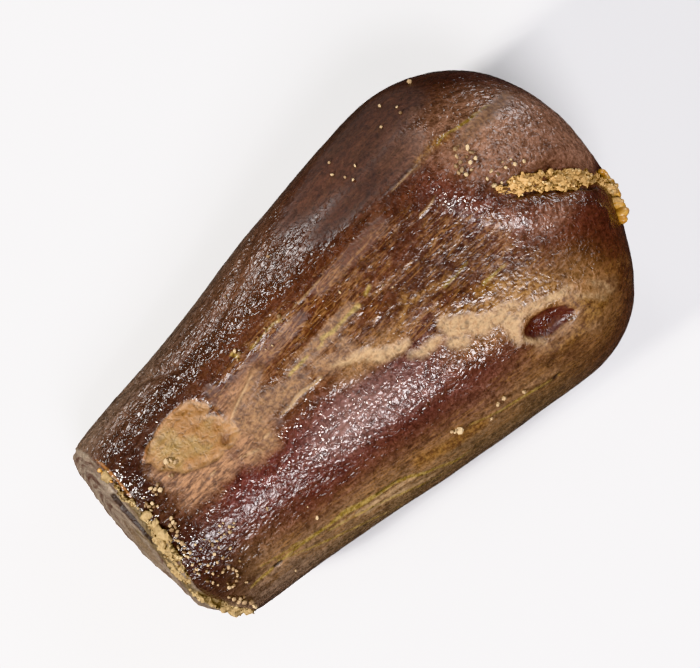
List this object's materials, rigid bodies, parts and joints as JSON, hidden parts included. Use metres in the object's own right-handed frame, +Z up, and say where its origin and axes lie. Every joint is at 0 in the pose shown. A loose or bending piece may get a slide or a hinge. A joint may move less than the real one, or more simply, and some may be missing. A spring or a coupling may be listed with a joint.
{
  "type": "fossil spinosaurus tooth",
  "caption": "Fossil spinosaurus tooth lying on its side: dark brown worn enamel, round wide end, broken narrow end, sandstone still stuck on.",
  "frame": {"origin": "centre of the bounding box on the surface that the tooth lies on", "axes": "+X along the tooth towards its round wide end, +Z up from the surface it lies on, +Y towards the flank beside the shoulder ridge"},
  "size_m": [0.044, 0.0264, 0.0223],
  "materials": {
    "fossil_enamel": "glossy worn fossil enamel, finely wrinkled, reddish brown",
    "sandstone": "rough yellow ochre sandstone grains"
  },
  "bodies": {
    "root": {"tooth": "fossil_enamel", "groove_sandstone": "sandstone", "end_sandstone": "sandstone"}
  },
  "joints": []
}
